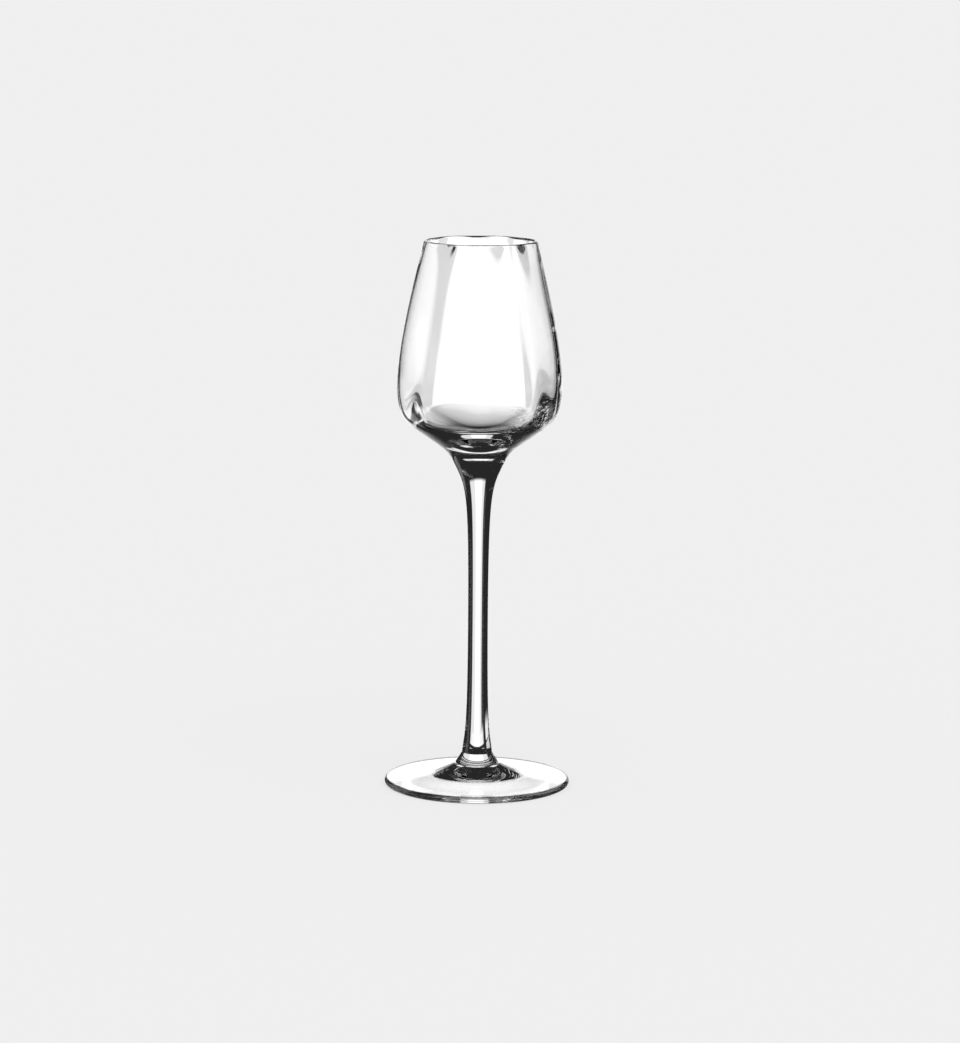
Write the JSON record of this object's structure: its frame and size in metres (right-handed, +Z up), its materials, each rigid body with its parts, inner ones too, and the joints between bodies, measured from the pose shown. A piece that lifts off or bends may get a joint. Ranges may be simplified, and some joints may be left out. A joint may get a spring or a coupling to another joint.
{
  "type": "vodka glass",
  "caption": "Slender stemmed vodka glass in clear glass: tapered optic-panelled bowl, drawn stem, small collar and round disc foot that stands on a table.",
  "frame": {"origin": "centre of the flat ring under the foot that the glass stands on", "axes": "+Z up along the stem from the foot to the rim; -Y is the side seen in front"},
  "size_m": [0.0578, 0.0578, 0.17],
  "materials": {
    "bowl": "clear blown glass, fire-polished, soft optic panels inside",
    "stem": "clear drawn glass, fire-polished",
    "foot_collar": "clear tooled glass, fire-polished",
    "foot": "clear spun glass, fire-polished"
  },
  "bodies": {
    "root": {"bowl": "bowl", "stem": "stem", "foot_collar": "foot_collar", "foot": "foot"}
  },
  "joints": []
}
